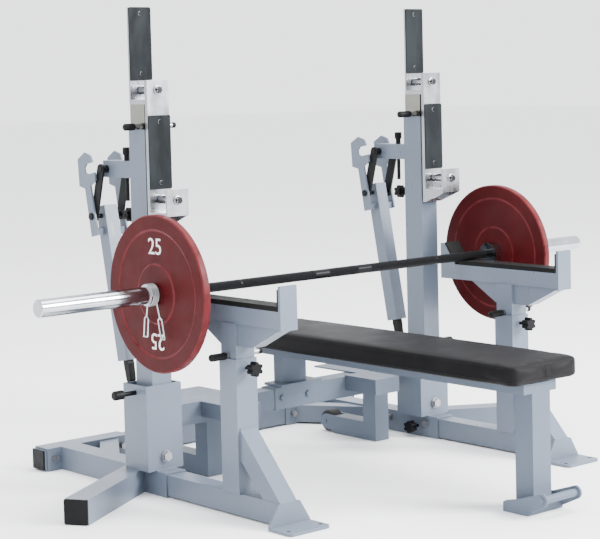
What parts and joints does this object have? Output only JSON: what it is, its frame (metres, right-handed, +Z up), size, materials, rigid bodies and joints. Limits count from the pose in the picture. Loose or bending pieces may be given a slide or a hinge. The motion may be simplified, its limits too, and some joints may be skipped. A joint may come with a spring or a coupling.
{
  "type": "competition bench press",
  "caption": "Competition bench press: telescoping, tilting uprights with twin-level hooks, lifting jacks, sliding safeties, a rolling flat bench and a loaded bar resting on the safeties",
  "frame": {"origin": "middle of the footprint, on the floor", "axes": "+X along the bar, +Y from the foot end of the bench towards the rear beam, +Z up"},
  "size_m": [2.2, 1.61, 1.441],
  "materials": {
    "frame_paint": "satin silver-grey powder coat",
    "hook_zinc": "bright zinc plate",
    "wear_slate": "dark slate, smudged",
    "black_plastic": "moulded, fine grain",
    "black_metal": "black powder coat",
    "bolt_zinc": "zinc-plated fixings",
    "post_chrome": "polished plated tube",
    "pad_vinyl": "black vinyl, fine grain",
    "pad_rubber": "black rubber",
    "wheel_rubber": "black rubber tread",
    "plate_red": "dark red moulded rubber",
    "sleeve_chrome": "bright chrome",
    "shaft_black": "black oxide, knurled"
  },
  "bodies": {
    "base": {"rear_beam": "frame_paint", "side_frames": "frame_paint", "outriggers": "frame_paint", "base_caps": "black_plastic", "housings": "frame_paint", "base_bolts": "bolt_zinc"},
    "bench": {"bench_pad": "pad_vinyl", "bench_rails": "frame_paint", "bench_legs": "frame_paint", "cross_beam": "frame_paint", "wheel_legs": "frame_paint", "step_plates": "frame_paint"},
    "bar": {"bar_shaft": "shaft_black"},
    "upright_left": {"upright_left": "frame_paint"},
    "rack_post_left": {"rack_post_left": "post_chrome", "hook_left": "hook_zinc", "wear_plates_left": "wear_slate"},
    "roller_upper_left": {"roller_upper_left": "hook_zinc"},
    "roller_lower_left": {"roller_lower_left": "hook_zinc"},
    "rack_pin_left": {"rack_pin_left": "bolt_zinc"},
    "rack_knob_left": {"rack_knob_left": "black_plastic"},
    "jack_links_left": {"jack_links_left": "black_metal"},
    "stow_pin_left": {"stow_pin_left": "black_plastic"},
    "tilt_pin_left": {"tilt_pin_left": "black_plastic"},
    "leg_knob_left": {"leg_knob_left": "black_plastic"},
    "safety_knob_left": {"safety_knob_left": "black_plastic"},
    "safety_pin_left": {"safety_pin_left": "bolt_zinc"},
    "jack_lever_left": {"jack_lever_left": "frame_paint", "jack_grip_left": "black_plastic"},
    "front_leg_left": {"front_leg_left": "frame_paint", "safety_post_left": "frame_paint"},
    "safety_left": {"safety_left": "frame_paint", "safety_pads_left": "pad_rubber"},
    "bench_wheel_left": {"bench_wheel_left": "wheel_rubber"},
    "bar_sleeve_left": {"bar_sleeve_left": "sleeve_chrome", "bar_plate_left": "plate_red"},
    "upright_right": {"upright_right": "frame_paint"},
    "rack_post_right": {"rack_post_right": "post_chrome", "hook_right": "hook_zinc", "wear_plates_right": "wear_slate"},
    "roller_upper_right": {"roller_upper_right": "hook_zinc"},
    "roller_lower_right": {"roller_lower_right": "hook_zinc"},
    "rack_pin_right": {"rack_pin_right": "bolt_zinc"},
    "rack_knob_right": {"rack_knob_right": "black_plastic"},
    "jack_links_right": {"jack_links_right": "black_metal"},
    "stow_pin_right": {"stow_pin_right": "black_plastic"},
    "tilt_pin_right": {"tilt_pin_right": "black_plastic"},
    "leg_knob_right": {"leg_knob_right": "black_plastic"},
    "safety_knob_right": {"safety_knob_right": "black_plastic"},
    "safety_pin_right": {"safety_pin_right": "bolt_zinc"},
    "jack_lever_right": {"jack_lever_right": "frame_paint", "jack_grip_right": "black_plastic"},
    "front_leg_right": {"front_leg_right": "frame_paint", "safety_post_right": "frame_paint"},
    "safety_right": {"safety_right": "frame_paint", "safety_pads_right": "pad_rubber"},
    "bench_wheel_right": {"bench_wheel_right": "wheel_rubber"},
    "bar_sleeve_right": {"bar_sleeve_right": "sleeve_chrome", "bar_plate_right": "plate_red"}
  },
  "joints": [
    {"name": "bench_roll", "type": "slide", "parent": "base", "child": "bench", "axis": [0, -1, 0], "range_m": [0, 0.8]},
    {"name": "bar_lift", "type": "slide", "parent": "safety_left", "child": "bar", "axis": [0, 0, 1], "range_m": [0, 0.2]},
    {"name": "tilt_left", "type": "hinge", "parent": "base", "child": "upright_left", "pos_m": [-0.565, 0.27, 0.113], "axis": [0, 1, 0], "range_deg": [0, 5]},
    {"name": "rack_raise_left", "type": "slide", "parent": "upright_left", "child": "rack_post_left", "axis": [0, 0, 1], "range_m": [0, 0.3]},
    {"name": "roller_upper_spin_left", "type": "hinge", "parent": "rack_post_left", "child": "roller_upper_left", "pos_m": [-0.565, 0.25, 1.197], "axis": [0, 1, 0], "continuous": true},
    {"name": "roller_lower_spin_left", "type": "hinge", "parent": "rack_post_left", "child": "roller_lower_left", "pos_m": [-0.565, 0.17, 0.877], "axis": [0, 1, 0], "continuous": true},
    {"name": "rack_pin_pull_left", "type": "slide", "parent": "rack_post_left", "child": "rack_pin_left", "axis": [-1, 0, 0], "range_m": [0, 0.135]},
    {"name": "rack_knob_turn_left", "type": "hinge", "parent": "upright_left", "child": "rack_knob_left", "pos_m": [-0.565, 0.34, 0.825], "axis": [0, 1, 0], "continuous": true},
    {"name": "link_swing_left", "type": "hinge", "parent": "upright_left", "child": "jack_links_left", "pos_m": [-0.565, 0.4435, 0.962], "axis": [1, 0, 0], "range_deg": [0, 30]},
    {"name": "lever_swing_left", "type": "hinge", "parent": "jack_links_left", "child": "jack_lever_left", "pos_m": [-0.565, 0.4835, 0.818], "axis": [1, 0, 0], "range_deg": [-2, 100]},
    {"name": "stow_pin_lift_left", "type": "slide", "parent": "upright_left", "child": "stow_pin_left", "axis": [0, 0, 1], "range_m": [0, 0.16]},
    {"name": "tilt_pin_pull_left", "type": "slide", "parent": "base", "child": "tilt_pin_left", "axis": [-1, 0, 0], "range_m": [0, 0.03], "stiffness_N_per_m": 600, "springref_m": -0.01},
    {"name": "leg_extend_left", "type": "slide", "parent": "base", "child": "front_leg_left", "axis": [0, -1, 0], "range_m": [0, 0.15]},
    {"name": "leg_knob_turn_left", "type": "hinge", "parent": "base", "child": "leg_knob_left", "pos_m": [-0.5, 0.271, 0.034], "axis": [1, 0, 0], "continuous": true},
    {"name": "safety_raise_left", "type": "slide", "parent": "front_leg_left", "child": "safety_left", "axis": [0, 0, 1], "range_m": [0, 0.15]},
    {"name": "safety_pin_pull_left", "type": "slide", "parent": "safety_left", "child": "safety_pin_left", "axis": [-1, 0, 0], "range_m": [0, 0.135]},
    {"name": "safety_knob_turn_left", "type": "hinge", "parent": "front_leg_left", "child": "safety_knob_left", "pos_m": [-0.565, -0.2, 0.42], "axis": [0, 1, 0], "continuous": true},
    {"name": "bench_wheel_spin_left", "type": "hinge", "parent": "bench", "child": "bench_wheel_left", "pos_m": [-0.32, 0.55, 0.037], "axis": [1, 0, 0], "continuous": true},
    {"name": "sleeve_spin_left", "type": "hinge", "parent": "bar", "child": "bar_sleeve_left", "pos_m": [-0.88, 0.051, 0.623], "axis": [1, 0, 0], "continuous": true},
    {"name": "tilt_right", "type": "hinge", "parent": "base", "child": "upright_right", "pos_m": [0.565, 0.27, 0.113], "axis": [0, -1, 0], "range_deg": [0, 5]},
    {"name": "rack_raise_right", "type": "slide", "parent": "upright_right", "child": "rack_post_right", "axis": [0, 0, 1], "range_m": [0, 0.3]},
    {"name": "roller_upper_spin_right", "type": "hinge", "parent": "rack_post_right", "child": "roller_upper_right", "pos_m": [0.565, 0.25, 1.197], "axis": [0, 1, 0], "continuous": true},
    {"name": "roller_lower_spin_right", "type": "hinge", "parent": "rack_post_right", "child": "roller_lower_right", "pos_m": [0.565, 0.17, 0.877], "axis": [0, 1, 0], "continuous": true},
    {"name": "rack_pin_pull_right", "type": "slide", "parent": "rack_post_right", "child": "rack_pin_right", "axis": [-1, 0, 0], "range_m": [0, 0.135]},
    {"name": "rack_knob_turn_right", "type": "hinge", "parent": "upright_right", "child": "rack_knob_right", "pos_m": [0.565, 0.34, 0.825], "axis": [0, 1, 0], "continuous": true},
    {"name": "link_swing_right", "type": "hinge", "parent": "upright_right", "child": "jack_links_right", "pos_m": [0.565, 0.4435, 0.962], "axis": [1, 0, 0], "range_deg": [0, 30]},
    {"name": "lever_swing_right", "type": "hinge", "parent": "jack_links_right", "child": "jack_lever_right", "pos_m": [0.565, 0.4835, 0.818], "axis": [1, 0, 0], "range_deg": [-2, 100]},
    {"name": "stow_pin_lift_right", "type": "slide", "parent": "upright_right", "child": "stow_pin_right", "axis": [0, 0, 1], "range_m": [0, 0.16]},
    {"name": "tilt_pin_pull_right", "type": "slide", "parent": "base", "child": "tilt_pin_right", "axis": [1, 0, 0], "range_m": [0, 0.03], "stiffness_N_per_m": 600, "springref_m": -0.01},
    {"name": "leg_extend_right", "type": "slide", "parent": "base", "child": "front_leg_right", "axis": [0, -1, 0], "range_m": [0, 0.15]},
    {"name": "leg_knob_turn_right", "type": "hinge", "parent": "base", "child": "leg_knob_right", "pos_m": [0.5, 0.271, 0.034], "axis": [1, 0, 0], "continuous": true},
    {"name": "safety_raise_right", "type": "slide", "parent": "front_leg_right", "child": "safety_right", "axis": [0, 0, 1], "range_m": [0, 0.15]},
    {"name": "safety_pin_pull_right", "type": "slide", "parent": "safety_right", "child": "safety_pin_right", "axis": [-1, 0, 0], "range_m": [0, 0.135]},
    {"name": "safety_knob_turn_right", "type": "hinge", "parent": "front_leg_right", "child": "safety_knob_right", "pos_m": [0.565, -0.2, 0.42], "axis": [0, 1, 0], "continuous": true},
    {"name": "bench_wheel_spin_right", "type": "hinge", "parent": "bench", "child": "bench_wheel_right", "pos_m": [0.39, 0.55, 0.037], "axis": [1, 0, 0], "continuous": true},
    {"name": "sleeve_spin_right", "type": "hinge", "parent": "bar", "child": "bar_sleeve_right", "pos_m": [0.88, 0.051, 0.623], "axis": [1, 0, 0], "continuous": true}
  ],
  "couplings": [
    {"joint": "leg_extend_right", "follows": "leg_extend_left", "ratio": 1},
    {"joint": "safety_raise_right", "follows": "safety_raise_left", "ratio": 1}
  ]
}
